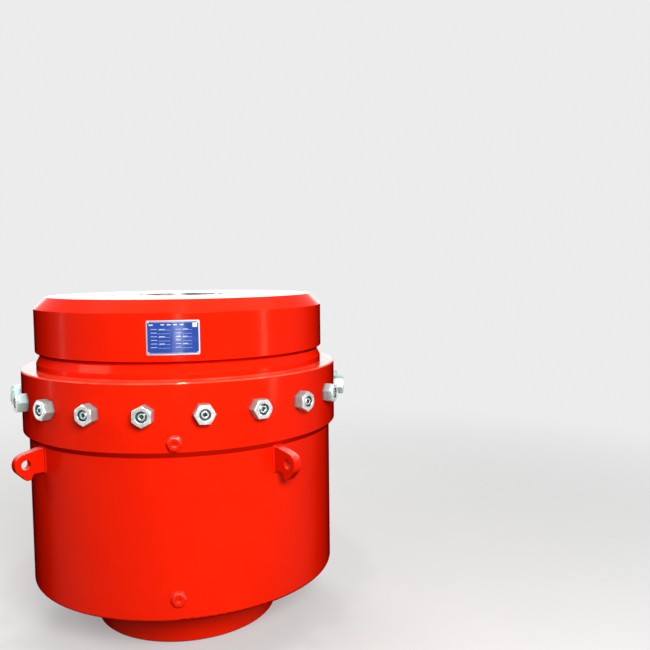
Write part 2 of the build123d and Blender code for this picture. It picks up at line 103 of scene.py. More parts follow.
def finish_piece(name, points, faces, materials, face_materials=None, places=None, sharp_angle=40):
    """Makes a mesh piece that rides on the part, smooth but for edges sharper than an angle."""
    mesh = bpy.data.meshes.new(name)
    mesh.from_pydata([tuple(point) for point in points], [], faces)
    for material in materials:
        mesh.materials.append(material)
    if face_materials:
        mesh.polygons.foreach_set("material_index", face_materials)
    if places:
        attribute = mesh.attributes.new("place", "FLOAT_VECTOR", "POINT")
        attribute.data.foreach_set("vector", [value for place in places for value in place])
    mesh.validate()
    mesh.update()
    mesh.shade_smooth()
    mesh.set_sharp_from_angle(angle=radians(sharp_angle))
    piece = bpy.data.objects.new(name, mesh)
    bpy.context.scene.collection.objects.link(piece)
    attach(piece, "root")
    return piece


# Shader helpers
def add_node(tree, kind, inputs=None, **settings):
    """Adds a shader node, sets its settings and gives its sockets a link or a value."""
    node = tree.nodes.new(kind)
    for key, value in settings.items():
        setattr(node, key, value)
    for key, value in (inputs or {}).items():
        if isinstance(value, bpy.types.NodeSocket):
            tree.links.new(value, node.inputs[key])
        else:
            node.inputs[key].default_value = value
    return node


def calculate(tree, operation, *values):
    """Output of a maths node."""
    return add_node(tree, "ShaderNodeMath", dict(enumerate(values)), operation=operation).outputs[0]


# The two inputs and the output that a mix node uses for each kind of data
MIX_SOCKETS = {"FLOAT": (2, 3, 0), "VECTOR": (4, 5, 1), "RGBA": (6, 7, 2)}


def blend(tree, kind, factor, first, second):
    """Output of a mix of one kind of data."""
    first_socket, second_socket, result = MIX_SOCKETS[kind]
    inputs = {0: factor, first_socket: first, second_socket: second}
    return add_node(tree, "ShaderNodeMix", inputs, data_type=kind).outputs[result]


def blend_colours(tree, factor, first, second):
    """Output of a colour mix."""
    return blend(tree, "RGBA", factor, first, second)


def blend_values(tree, factor, first, second):
    """Output of a value mix."""
    return blend(tree, "FLOAT", factor, first, second)


def ramp(tree, value, low, high, low_result=0.0, high_result=1.0):
    """Smooth step of a value from one result to another."""
    inputs = {"Value": value, "From Min": low, "From Max": high,
              "To Min": low_result, "To Max": high_result}
    return add_node(tree, "ShaderNodeMapRange", inputs, interpolation_type="SMOOTHSTEP").outputs[0]


def band(tree, value, low, high, edge):
    """One inside an interval and zero outside it, with soft edges."""
    rise = ramp(tree, value, low - edge, low + edge)
    fall = ramp(tree, value, high - edge, high + edge, 1.0, 0.0)
    return calculate(tree, "MULTIPLY", rise, fall)


def noise(tree, vector, scale, detail=2.0, roughness=0.5, distortion=0.0):
    """Value of a noise texture."""
    inputs = {"Vector": vector, "Scale": scale, "Detail": detail,
              "Roughness": roughness, "Distortion": distortion}
    return add_node(tree, "ShaderNodeTexNoise", inputs).outputs["Fac"]


def stretched(tree, vector, scale):
    """Coordinates stretched by a factor along each axis."""
    return add_node(tree, "ShaderNodeMapping", {"Vector": vector, "Scale": scale}).outputs[0]


def bump(tree, height, distance, strength=1.0, normal=None):
    """Normal bent by a height."""
    inputs = {"Height": height, "Distance": distance, "Strength": strength}
    if normal:
        inputs["Normal"] = normal
    return add_node(tree, "ShaderNodeBump", inputs).outputs[0]


def new_material(name):
    """Empty node material with its output, and object coordinates."""
    material = bpy.data.materials.new(name)
    material.use_nodes = True
    tree = material.node_tree
    tree.nodes.clear()
    output = tree.nodes.new("ShaderNodeOutputMaterial")
    coordinates = tree.nodes.new("ShaderNodeTexCoord").outputs["Object"]
    return material, tree, output, coordinates


def vector_length(tree, vector):
    """Length of a vector."""
    return add_node(tree, "ShaderNodeVectorMath", {0: vector}, operation="LENGTH").outputs["Value"]


def axis_radius(tree, vector):
    """Distance of a point from the z axis."""
    flat = add_node(tree, "ShaderNodeVectorMath", {0: vector, 1: (1, 1, 0)}, operation="MULTIPLY")
    return vector_length(tree, flat.outputs[0])


def height_part(tree, vector):
    """The z part of a vector."""
    return add_node(tree, "ShaderNodeSeparateXYZ", {0: vector}).outputs[2]


def shaded(material, tree, output, inputs):
    """Gives a material a Principled shader with these inputs, and returns it."""
    shader = add_node(tree, "ShaderNodeBsdfPrincipled", inputs)
    tree.links.new(shader.outputs[0], output.inputs[0])
    return material


# Colours
RED = (0.97, 0.0150, 0.0010, 1)
DEEP_RED = (0.74, 0.0042, 0.0004, 1)
PALE_RED = (0.97, 0.032, 0.008, 1)
BARE_STEEL = (0.44, 0.43, 0.41, 1)
ENAMEL_TINT = (1.0, 0.80, 0.48, 1)
# Coat tint for the walls: painted shade that darkens them, most towards their outline
WALL_EDGE_SHADE_TINT = (0.85, 0.80, 0.78, 1)
# Pale red painted as highlight lines on the rim, ledge and skirt's foot
PAINTED_HIGHLIGHT_RED = (0.95, 0.15, 0.085, 1)
# Dark red painted as shade in the groove and the skirt's joint
PAINTED_SHADE_RED = (0.24, 0.003, 0.001, 1)
# Pale dusting colour, which on fittings and plugs is mostly a painted highlight
PALE_DUST_AND_HIGHLIGHT = (0.50, 0.36, 0.31, 1)
OIL_STAIN = (0.24, 0.19, 0.14, 1)
TOOL_MARK = (0.62, 0.61, 0.59, 1)
ZINC = (0.80, 0.80, 0.785, 1)
SCREW_ZINC = (0.60, 0.63, 0.61, 1)
ZINC_FILM = (0.50, 0.60, 0.57, 1)
ZINC_CLOUD = (0.66, 0.60, 0.48, 1)
ZINC_FLANK = (0.33, 0.50, 0.485, 1)
# Dark oily colour for dirt spots, and for painted shade by the nuts' seats
OILY_DIRT_AND_SHADE = (0.13, 0.15, 0.145, 1)
# Darkest grease colour, also painted shade in the screws' sockets
THICK_GREASE_AND_SHADE = (0.018, 0.050, 0.052, 1)
THIN_GREASE = (0.09, 0.22, 0.21, 1)
RUBBER = (0.018, 0.018, 0.019, 1)
RUBBER_BLOOM = (0.060, 0.058, 0.055, 1)
FORGED_STEEL = (0.36, 0.35, 0.33, 1)
THREAD_STEEL = (0.30, 0.28, 0.26, 1)
PLATE_BLUES = (0.007, 0.044, 0.28, 1), (0.014, 0.066, 0.35, 1)
PLATE_SILVERS = (0.46, 0.47, 0.50, 1), (0.34, 0.35, 0.38, 1)
PLATE_WHITES = (0.62, 0.70, 0.84, 1), (0.50, 0.60, 0.80, 1)
WHITE = (1, 1, 1, 1)

# Enamel: the normal's height up to which a face is a wall, is no wall any more, and is a flat top
WALL_UNTIL, WALL_GONE = 0.30, 0.66
TOP_FROM = 0.96
WALL_SHINE, TOP_SHINE = 0.10, 0.45
WALL_ROUGHER, DUST_AND_HIGHLIGHT_ROUGHER = 0.085, 0.04

# Zinc fittings: metres from the seat between which the painted shade by the seat fades, and between which
# flank turns to face
SEAT_SHADE_FROM, SEAT_SHADE_TO = 0.002, 0.016
FLANK_FROM, FLANK_TO = 0.0460, 0.0485


def enamel_look(tree, coordinates, dust_and_highlight_level, dust_and_highlight_slope):
    """Colour, roughness, shine, wall share and normal of glossy enamel with mottling, sags, and pale dusting
    on upward faces, which where it is strong is a painted highlight.
    """
    rise = height_part(tree, add_node(tree, "ShaderNodeNewGeometry").outputs["Normal"])
    facing_up = ramp(tree, rise, dust_and_highlight_slope, 0.98)
    cloud = noise(tree, coordinates, 3.2, 3.0, 0.55)
    mottle = noise(tree, coordinates, 46.0, 3.0, 0.6)
    sags = noise(tree, stretched(tree, coordinates, (9.0, 9.0, 1.1)), 2.6, 3.0, 0.6, 0.4)
    specks = ramp(tree, noise(tree, coordinates, 310.0, 1.0), 0.66, 0.74)
    colour = blend_colours(tree, ramp(tree, cloud, 0.35, 0.70), DEEP_RED, RED)
    colour = blend_colours(tree, 0.18, RED, colour)
    colour = blend_colours(tree, ramp(tree, mottle, 0.45, 0.80, 0.0, 0.06), colour, PALE_RED)
    colour = blend_colours(tree, ramp(tree, sags, 0.55, 0.80, 0.0, 0.12), colour, DEEP_RED)
    patches = ramp(tree, noise(tree, coordinates, 14.0, 5.0, 0.65), 0.35, 0.75)
    dust_and_highlight = calculate(tree, "MULTIPLY", facing_up, patches)
    colour = blend_colours(tree, calculate(tree, "MULTIPLY", dust_and_highlight, dust_and_highlight_level), colour, PALE_DUST_AND_HIGHLIGHT)
    wall_share = ramp(tree, rise, WALL_UNTIL, WALL_GONE, 1.0, 0.0)
    rough = ramp(tree, noise(tree, coordinates, 7.0, 4.0, 0.6), 0.30, 0.75, 0.06, 0.12)
    rough = calculate(tree, "MULTIPLY_ADD", dust_and_highlight, DUST_AND_HIGHLIGHT_ROUGHER, rough)
    rough = calculate(tree, "MULTIPLY_ADD", wall_share, WALL_ROUGHER, rough)
    facing = add_node(tree, "ShaderNodeLayerWeight", {"Blend": 0.5}).outputs["Facing"]
    wall_shine = ramp(tree, facing, 0.25, 0.62, WALL_SHINE, 0.0)
    shine = ramp(tree, rise, WALL_GONE, TOP_FROM, wall_shine, TOP_SHINE)
    peel = bump(tree, noise(tree, coordinates, 165.0, 2.0, 0.45), 0.0003, 0.10)
    waves = bump(tree, sags, 0.0030, 0.08, peel)
    grit = bump(tree, specks, 0.0004, 0.10, waves)
    return colour, rough, shine, wall_share, grit


def steel_look(tree, coordinates, colour):
    """Colour, roughness and normal of turned steel under an oil film, with tool marks round the bore."""
    radius, height = axis_radius(tree, coordinates), height_part(tree, coordinates)
    marks = add_node(tree, "ShaderNodeCombineXYZ", {0: radius, 1: height}).outputs[0]
    rings = noise(tree, stretched(tree, marks, (900, 900, 1)), 1.0, 2.0, 0.7)
    stain = noise(tree, coordinates, 11.0, 5.0, 0.65)
    tone = blend_colours(tree, ramp(tree, stain, 0.40, 0.75), colour, OIL_STAIN)
    tone = blend_colours(tree, ramp(tree, rings, 0.3, 0.7, 0.0, 0.35), tone, TOOL_MARK)
    rough = ramp(tree, stain, 0.30, 0.75, 0.24, 0.46)
    return tone, rough, bump(tree, rings, 0.0002, 0.5)


def in_zones(tree, radius, height, zones, radius_edge, height_edge):
    """One inside any of the zones, each (radius from, to, height from, to) in metres."""
    inside = 0.0
    for inner, outer, low, high in zones:
        ring = band(tree, radius, inner, outer, radius_edge)
        zone = calculate(tree, "MULTIPLY", ring, band(tree, height, low, high, height_edge))
        inside = calculate(tree, "MAXIMUM", inside, zone)
    return inside


def enamel_material(name, bare_zones=(), painted_highlight_zones=(), painted_shade_zones=(), dust_and_highlight_level=0.03, dust_and_highlight_slope=0.80):
    """Red enamel, left off the machined zones, with pale painted highlights on the rim and ledge and dark
    painted shade in the groove and the skirt's joint.
    """
    material, tree, output, coordinates = new_material(name)
    colour, rough, shine, wall_share, normal = enamel_look(tree, coordinates, dust_and_highlight_level, dust_and_highlight_slope)
    # The coat reflects nothing at IOR 1; its tint is painted shade that darkens the walls, more towards their
    # outline.
    inputs = {"Base Color": colour, "Roughness": rough, "Normal": normal,
              "Specular IOR Level": shine, "Specular Tint": ENAMEL_TINT,
              "Coat Weight": wall_share, "Coat IOR": 1.0, "Coat Tint": WALL_EDGE_SHADE_TINT}
    if bare_zones:
        radius, height = axis_radius(tree, coordinates), height_part(tree, coordinates)
        patchy = ramp(tree, noise(tree, coordinates, 9.0, 4.0, 0.6), 0.35, 0.65, 0.25, 0.60)
        highlight_mask = in_zones(tree, radius, height, painted_highlight_zones, 0.6 * MM, 0.4 * MM)
        shade_mask = in_zones(tree, radius, height, painted_shade_zones, 1.2 * MM, 0.8 * MM)
        # Painted highlight: pale patchy lines on the body's rim and ledge and the skirt's foot.
        colour = blend_colours(tree, calculate(tree, "MULTIPLY", highlight_mask, patchy), colour, PAINTED_HIGHLIGHT_RED)
        # Painted shade: darkening in the groove under the head's lip and at the skirt's joint.
        colour = blend_colours(tree, calculate(tree, "MULTIPLY", shade_mask, 0.75), colour, PAINTED_SHADE_RED)
        wander = calculate(tree, "MULTIPLY_ADD", noise(tree, coordinates, 60.0), 1.2 * MM, -0.6 * MM)
        radius_edge = calculate(tree, "ADD", radius, wander)
        bare = in_zones(tree, radius_edge, height, bare_zones, 0.2 * MM, 0.1 * MM)
        steel_tone, steel_rough, steel_normal = steel_look(tree, coordinates, BARE_STEEL)
        inputs["Base Color"] = blend_colours(tree, bare, colour, steel_tone)
        inputs["Roughness"] = blend_values(tree, bare, rough, steel_rough)
        inputs["Specular Tint"] = blend_colours(tree, bare, ENAMEL_TINT, WHITE)
        inputs["Metallic"] = bare
        inputs["Coat Weight"] = blend_values(tree, bare, wall_share, 0.0)
        inputs["Normal"] = blend(tree, "VECTOR", bare, normal, steel_normal)
    return shaded(material, tree, output, inputs)


def steel_material(name, colour):
    """Turned, oiled steel for the inner pieces."""
    material, tree, output, coordinates = new_material(name)
    tone, rough, normal = steel_look(tree, coordinates, colour)
    return shaded(material, tree, output, {
        "Base Color": tone, "Metallic": 1.0, "Roughness": rough, "Normal": normal,
        "Coat Weight": 0.25, "Coat Roughness": 0.12,
    })


def zinc_material(name, tint, rough_low, rough_high):
    """Zinc plate: turned rings on the face, cloudy passivation, scratches, oily dirt spots, and painted shade
    by the seat.
    """
    material, tree, output, coordinates = new_material(name)
    place = add_node(tree, "ShaderNodeAttribute", attribute_name="place").outputs["Vector"]
    along_radius = add_node(tree, "ShaderNodeCombineXYZ", {0: axis_radius(tree, place)}).outputs[0]
    rings = noise(tree, along_radius, 1500.0, 2.0, 0.7)
    cloud = noise(tree, coordinates, 38.0, 4.0, 0.6)
    film = noise(tree, coordinates, 17.0, 2.0, 0.5, 0.8)
    scratches = noise(tree, stretched(tree, place, (1.0, 1.0, 0.12)), 900.0, 2.0, 0.6)
    tone = blend_colours(tree, ramp(tree, film, 0.35, 0.70, 0.0, 0.6), tint, ZINC_FILM)
    tone = blend_colours(tree, ramp(tree, cloud, 0.50, 0.85, 0.0, 0.35), tone, ZINC_CLOUD)
    depth = height_part(tree, place)
    flank = ramp(tree, depth, FLANK_FROM, FLANK_TO, 1.0, 0.0)
    tone = blend_colours(tree, calculate(tree, "MULTIPLY", flank, 0.85), tone, ZINC_FLANK)
    # Painted shade: the nut darkens towards its seat on the body.
    seat_shade = ramp(tree, depth, SEAT_SHADE_FROM, SEAT_SHADE_TO, 0.7, 0.0)
    spots = ramp(tree, noise(tree, coordinates, 75.0, 4.0, 0.65), 0.50, 0.68, 0.0, 0.38)
    tone = blend_colours(tree, calculate(tree, "MAXIMUM", seat_shade, spots), tone, OILY_DIRT_AND_SHADE)
    rough = blend_values(tree, flank, ramp(tree, cloud, 0.3, 0.7, rough_low, rough_high), 0.32)
    normal = bump(tree, rings, 0.00012, 0.35, bump(tree, scratches, 0.0001, 0.2))
    return shaded(material, tree, output, {
        "Base Color": tone, "Metallic": blend_values(tree, flank, 1.0, 0.50),
        "Roughness": rough, "Normal": normal,
    })


def grease_and_shade_material():
    """Dark greenish grease and thread shadow in the ring between gland nut and screw, also used as painted
    shade in the screws' sockets.
    """
    material, tree, output, coordinates = new_material("grease_and_shade")
    smear = noise(tree, coordinates, 130.0, 4.0, 0.6)
    tone = blend_colours(tree, ramp(tree, smear, 0.35, 0.75), THICK_GREASE_AND_SHADE, THIN_GREASE)
    return shaded(material, tree, output, {
        "Base Color": tone, "Metallic": 0.3, "Roughness": ramp(tree, smear, 0.3, 0.8, 0.22, 0.5),
        "Normal": bump(tree, smear, 0.0006, 0.6),
    })


def rubber_material():
    """Moulded nitrile rubber with a dull bloom and mould lines up the bore."""
    material, tree, output, coordinates = new_material("moulded_rubber")
    bloom = noise(tree, coordinates, 9.0, 5.0, 0.6)
    grain = noise(tree, coordinates, 420.0, 2.0, 0.6)
    ribs = noise(tree, stretched(tree, coordinates, (1, 1, 30)), 5.0, 1.0)
    tone = blend_colours(tree, ramp(tree, bloom, 0.40, 0.80), RUBBER, RUBBER_BLOOM)
    normal = bump(tree, grain, 0.0003, 0.5, bump(tree, ribs, 0.002, 0.3))
    rough = ramp(tree, bloom, 0.3, 0.8, 0.45, 0.75)
    return shaded(material, tree, output, {"Base Color": tone, "Roughness": rough, "Normal": normal})


def plate_material(name, colour, pale, metallic, rough):
    """Printed or bare plate metal with brushing along the plate and soft blotches."""
    material, tree, output, coordinates = new_material(name)
    brush = noise(tree, stretched(tree, coordinates, (60, 60, 2200)), 1.0, 2.0, 0.6)
    blotch = noise(tree, coordinates, 24.0, 4.0, 0.6)
    tone = blend_colours(tree, ramp(tree, blotch, 0.35, 0.80, 0.0, 0.55), colour, pale)
    return shaded(material, tree, output, {
        "Base Color": tone, "Metallic": metallic, "Specular IOR Level": 0.40,
        "Roughness": ramp(tree, blotch, 0.3, 0.8, rough, rough + 0.16),
        "Normal": bump(tree, brush, 0.00008, 0.5),
    })


# Zones as (radius from, to, height from, to) in metres: machined faces left bare, painted highlights on the
# rim and ledge, painted shade in the groove and the skirt's joint
BODY_BARE = (
    (0.0, 0.2720, -0.001, 0.0068),             # raised face under the flange
    (0.0, 0.1750, -0.001, 0.50),               # bore
    (0.3530, 0.4190, 0.0066, 0.2045),          # the flange's stud holes
    (0.0, 0.6890, 0.3000, BODY_TOP - 0.0002),  # chambers and head socket
)
HEAD_BARE = (
    (0.0, 0.2330, HEAD_TOP - 0.02, HEAD_TOP + 0.001),      # face of the top connection
    (0.0, 0.1750, BODY_TOP, HEAD_TOP + 0.001),             # bore
    (0.3100, 0.3630, HEAD_TOP - 0.09, HEAD_TOP - 0.0004),  # top stud holes
    (0.0, 0.6450, 0.90, BODY_TOP + 0.0002),                # skirt inside the body
)
# Painted highlights on the rim's chamfer, the ledge and the skirt's foot
BODY_PAINTED_HIGHLIGHT = (
    (BODY_RADIUS - 0.0056, BODY_RADIUS + 0.001, BODY_TOP - 0.0056, BODY_TOP + 0.001),
    (HEAD_RADIUS - 0.0040, BODY_RADIUS, BODY_TOP - 0.0002, BODY_TOP + 0.001),
)
HEAD_PAINTED_HIGHLIGHT = ((HEAD_RADIUS - 0.0070, HEAD_RADIUS - 0.0030, BODY_TOP - 0.001, BODY_TOP + 0.0040),)
# Painted shade on the ledge at the skirt's joint, and in the groove under the head's upper lip
BODY_PAINTED_SHADE = ((0.6700, HEAD_RADIUS - 0.0035, BODY_TOP - 0.0005, BODY_TOP + 0.001),)
GROOVE_LIP = BODY_TOP + 0.080
HEAD_PAINTED_SHADE = ((HEAD_RADIUS - 0.0125, HEAD_RADIUS - 0.0006, GROOVE_LIP - 0.0100, GROOVE_LIP),)

# Materials
body_enamel = enamel_material("body_enamel", BODY_BARE, BODY_PAINTED_HIGHLIGHT, BODY_PAINTED_SHADE)
head_enamel = enamel_material("head_enamel", HEAD_BARE, HEAD_PAINTED_HIGHLIGHT, HEAD_PAINTED_SHADE)
# Fittings and plugs: their strong pale dusting on upward faces is a painted highlight
fitting_enamel = enamel_material("fitting_enamel", dust_and_highlight_level=0.95, dust_and_highlight_slope=0.30)
plug_enamel = enamel_material("plug_enamel", dust_and_highlight_level=1.5, dust_and_highlight_slope=-0.05)
zinc_plate = zinc_material("zinc_plate", ZINC, 0.22, 0.34)
screw_steel = zinc_material("screw_steel", SCREW_ZINC, 0.20, 0.34)
grease_and_shade = grease_and_shade_material()
forged_steel = steel_material("forged_steel", FORGED_STEEL)
thread_steel = steel_material("thread_steel", THREAD_STEEL)
moulded_rubber = rubber_material()
plate_blue = plate_material("plate_blue", *PLATE_BLUES, 0.0, 0.12)
plate_silver = plate_material("plate_silver", *PLATE_SILVERS, 1.0, 0.36)
plate_white = plate_material("plate_white", *PLATE_WHITES, 0.0, 0.40)


def dress(node, material):
    """Gives a CAD node its material."""
    slots = NODES[node].material_slots
    for material_slot in slots:
        material_slot.material = material
    if not slots:
        NODES[node].data.materials.append(material)


PADEYE_NUMBERS = range(1, 5)
dress("body", body_enamel)
dress("head", head_enamel)
for number in PADEYE_NUMBERS:
    dress(f"padeye_{number}", fitting_enamel)
dress("packing_rubber", moulded_rubber)
for steel_node in ("latch_segments", "piston", "body_sleeve", "packing_inserts"):
    dress(steel_node, forged_steel)


# Hexagonal fittings: every outline has the same number of points, so rows of any shape join
def hexagon_outline(across_flats, corner, side_steps=8, corner_steps=4):
    """Outline of a hexagon with rounded corners, as (x, y) points."""
    apothem = across_flats / 2
    points = []
    half_side = apothem * tan(radians(30)) - corner * tan(radians(30))
    for side in range(6):
        turn = radians(60 * side + 30)
        across, along = Vector((cos(turn), sin(turn))), Vector((-sin(turn), cos(turn)))
        for step in range(side_steps + 1):
            points.append(across * apothem + along * half_side * (2 * step / side_steps - 1))
        centre = across * (apothem - corner) + along * half_side
        for step in range(1, corner_steps):
            swing = turn + radians(60 * step / corner_steps)
            points.append(centre + Vector((cos(swing), sin(swing))) * corner)
    return points


def raised(outline, height):
    """Row of points of an outline at one height."""
    return [Vector((point.x, point.y, height)) for point in outline]


def circle_rows(like, circles):
    """Rows of circles, each (radius, height), with their points at the same angles as an outline."""
    return [raised([point.normalized() * radius for point in like], height) for radius, height in circles]


def side_rows(hexagon, foot, tops, shares):
    """Rows up a hexagon's sides, at shares of the way from one height to each point's top."""
    return [[Vector((point.x, point.y, foot + (top - foot) * share)) for point, top in zip(hexagon, tops)]
            for share in shares]


def bevel_tops(hexagon, face, rim, slope):
    """Heights at which a turned bevel meets a hexagon's sides, the bevel starting at the rim of the face."""
    return [face - max(0.0, point.length - rim) * tan(slope) for point in hexagon]


def bevel_rows(hexagon, face, rim, slope, shares, sag=0.0):
    """Rows across a turned bevel, at shares of the way from the hexagon in to the rim of the face."""
    rows = []
    for share in shares:
        row = []
        for point in hexagon:
            spread = point.length - (point.length - rim) * share
            height = face - (spread - rim) * tan(slope) - sag * (1 - share)
            row.append(Vector((*(point.normalized() * spread), height)))
        rows.append(row)
    return rows


def skin_between(row, following, columns):
    """Faces between two rows of points."""
    faces = []
    for column in range(columns):
        beside = (column + 1) % columns
        faces.append((row * columns + column, row * columns + beside,
                      following * columns + beside, following * columns + column))
    return faces


def close_rows(rows):
    """Faces of a torus-like skin through rows of points, the last row joined to the first."""
    faces = []
    for row in range(len(rows)):
        faces += skin_between(row, (row + 1) % len(rows), len(rows[0]))
    return faces


def capped_rows(rows):
    """Faces of a closed skin through rows of points, with a fan over each end to one of two last points."""
    columns = len(rows[0])
    faces = []
    for row in range(len(rows) - 1):
        faces += skin_between(row, row + 1, columns)
    first_centre, last_row = len(rows) * columns, (len(rows) - 1) * columns
    for column in range(columns):
        beside = (column + 1) % columns
        faces.append((first_centre, beside, column))
        faces.append((first_centre + 1, last_row + column, last_row + beside))
    return faces


def place_rows(rows, turn, matrix):
    """Points of the rows turned and set in place, with their places in the fitting's own frame."""
    twist = Matrix.Rotation(radians(turn), 3, "Z")
    local = [twist @ point for row in rows for point in row]
    return [matrix @ point for point in local], local


def latch_place(index, radius):
    """Matrix of one of the latches at a distance from the axis."""
    return outward(LATCH_STEP * (index + 0.5), radius, LATCH_HEIGHT)


def gland_nut_rows():
    """Rows of a gland nut's skin from its seat round to its shank, with the first and last row of the dark
    grease and shade in its mouth.
    """
    head = NUT_FACE_RADIUS - NUT_SEAT_RADIUS
    mouth_floor = head - NUT_MOUTH_DEPTH
    half_width = NUT_ACROSS_FLATS / 2
    rim = half_width - HEXAGON_BEVEL_INSET
    hexagon = hexagon_outline(NUT_ACROSS_FLATS, NUT_CORNER)
    tops = [top - NUT_SOFT_EDGE for top in bevel_tops(hexagon, head, rim, HEXAGON_BEVEL_SLOPE)]
    rows = circle_rows(hexagon, ((half_width - 1.4 * MM, 0.0), (half_width - 1.0 * MM, 1.1 * MM)))
    rows += side_rows(hexagon, 1.3 * MM, tops, (0.0, 0.30, 0.60, 1.0))
    rows += bevel_rows(hexagon, head, rim, HEXAGON_BEVEL_SLOPE, (0.12, 0.55))
    rows += circle_rows(hexagon, (
        (rim + 0.3 * MM, head - 0.12 * MM), (rim - 0.4 * MM, head),
        (35 * MM, head), (32 * MM, head), (28.5 * MM, head), (25.8 * MM, head),
        (NUT_MOUTH_RADIUS + 1.0 * MM, head - 0.25 * MM), (NUT_MOUTH_RADIUS, head - 1.3 * MM),
    ))
    grease_shade_from = len(rows) - 1
    rows += circle_rows(hexagon, (
        (NUT_MOUTH_RADIUS, mouth_floor + 0.8 * MM), (NUT_MOUTH_RADIUS - 0.8 * MM, mouth_floor),
        (NUT_BORE_RADIUS, mouth_floor), (NUT_BORE_RADIUS, -NUT_SHANK_LENGTH),
    ))
    grease_shade_to = len(rows) - 1
    rows += circle_rows(hexagon, ((NUT_SHANK_RADIUS, -NUT_SHANK_LENGTH), (NUT_SHANK_RADIUS, -HAIR)))
    return rows, grease_shade_from, grease_shade_to


nut_rows, grease_shade_from, grease_shade_to = gland_nut_rows()
nut_faces = close_rows(nut_rows)
nut_face_rows = [face // len(nut_rows[0]) for face in range(len(nut_faces))]
nut_face_materials = [int(grease_shade_from <= row < grease_shade_to) for row in nut_face_rows]
for index in range(LATCH_COUNT):
    points, places = place_rows(nut_rows, NUT_TURNS[index], latch_place(index, NUT_SEAT_RADIUS))
    nut = finish_piece(f"gland_nut_{index + 1:02d}", points, nut_faces, [zinc_plate, grease_and_shade],
                       nut_face_materials, places)
    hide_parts(f"latch_gland_nut_{index + 1:02d}")


def latch_screw_rows():
    """Rows of a latch screw's skin from its socket round to its inner end, and the centres of both ends."""
    length = NUT_FACE_RADIUS - SCREW_RECESS - SCREW_INNER_RADIUS
    bottom = length - SCREW_SOCKET_DEPTH
    threads_top = length - 2.2 * MM
    crest, root = SCREW_RADIUS - 0.1 * MM, SCREW_RADIUS - 1.4 * MM
    socket = hexagon_outline(SCREW_SOCKET_ACROSS_FLATS, 0.4 * MM, side_steps=5, corner_steps=3)
    rows = circle_rows(socket, ((2 * MM, bottom - 3.5 * MM),))
    rows.append(raised([point * 0.97 for point in socket], bottom))
    rows += [raised(socket, bottom + 0.5 * MM), raised(socket, length - 1.0 * MM)]
    rows += circle_rows(socket, ((10.4 * MM, length), (15.2 * MM, length),
                                 (15.6 * MM, length - 0.2 * MM), (root, threads_top)))
    for thread in range(SCREW_THREADS):
        top = threads_top - SCREW_PITCH * thread
        rows += circle_rows(socket, ((crest, top - SCREW_PITCH * 0.40), (crest, top - SCREW_PITCH * 0.55),
                                     (root, top - SCREW_PITCH * 0.95)))
    rows += circle_rows(socket, ((SCREW_RADIUS, length - 20 * MM), (SCREW_RADIUS, 1.0 * MM),
                                 (SCREW_RADIUS - 1.0 * MM, 0.0)))
    return rows, [Vector((0, 0, bottom - 4.2 * MM)), Vector((0, 0, 0))]


screw_rows, screw_ends = latch_screw_rows()
single_faces = capped_rows(screw_rows)
SOCKET_WALL_ROWS = 3


def in_screw_socket(face):
    """True for a face of the screw's socket: its wall, or the fan over its bottom, every other cap face."""
    columns = len(screw_rows[0])
    first_cap = (len(screw_rows) - 1) * columns
    return face < SOCKET_WALL_ROWS * columns or (face >= first_cap and (face - first_cap) % 2 == 0)


# The screws' sockets take the dark grease material: painted shade in the recess
screw_face_materials = [int(in_screw_socket(face)) for face in range(len(single_faces))]
all_points, all_places, all_faces = [], [], []
for index in range(LATCH_COUNT):
    matrix = latch_place(index, SCREW_INNER_RADIUS)
    points, places = place_rows(screw_rows + [screw_ends], NUT_TURNS[-index] + 17, matrix)
    start = len(all_points)
    all_points += points
    all_places += places
    all_faces += [tuple(start + corner for corner in face) for face in single_faces]
screws = finish_piece("latch_screw_set", all_points, all_faces, [screw_steel, grease_and_shade],
                      screw_face_materials * LATCH_COUNT, all_places)
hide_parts("latch_screws")


def port_plug_rows():
    """Rows of a painted port plug's skin from its socket round to its shank, and the centres of both ends."""
    bottom = PLUG_HEAD - PLUG_SOCKET_DEPTH
    rim = PLUG_ACROSS_FLATS / 2 - PLUG_BEVEL_INSET
    hexagon = hexagon_outline(PLUG_ACROSS_FLATS, PLUG_CORNER)
    tops = bevel_tops(hexagon, PLUG_HEAD, rim, PLUG_BEVEL_SLOPE)
    rows = circle_rows(hexagon, ((33.0 * MM, 0.0), (33.6 * MM, 0.9 * MM),
                                 (33.0 * MM, 2.0 * MM), (30.5 * MM, 2.6 * MM)))
    rows.append([Vector((point.x, point.y, 3.0 * MM)) * 0.985 for point in hexagon])
    rows += side_rows(hexagon, 4.2 * MM, tops, (0.0, 0.5, 0.93))
    rows += bevel_rows(hexagon, PLUG_HEAD, rim, PLUG_BEVEL_SLOPE, (0.18, 0.6), 0.3 * MM)
    rows += circle_rows(hexagon, (
        (rim - 0.4 * MM, PLUG_HEAD - 0.15 * MM), (rim - 2.0 * MM, PLUG_HEAD),
        (PLUG_SOCKET_RADIUS + 2.0 * MM, PLUG_HEAD), (PLUG_SOCKET_RADIUS + 0.6 * MM, PLUG_HEAD - 0.5 * MM),
        (PLUG_SOCKET_RADIUS, PLUG_HEAD - 1.8 * MM), (PLUG_SOCKET_RADIUS, bottom + 1.5 * MM),
        (PLUG_SOCKET_RADIUS - 1.5 * MM, bottom),
    ))
    rows.reverse()
    rows += circle_rows(hexagon, ((PLUG_SHANK_RADIUS, -HAIR), (PLUG_SHANK_RADIUS, -PLUG_SHANK_LENGTH)))
    return rows, [Vector((0, 0, bottom)), Vector((0, 0, -PLUG_SHANK_LENGTH))]


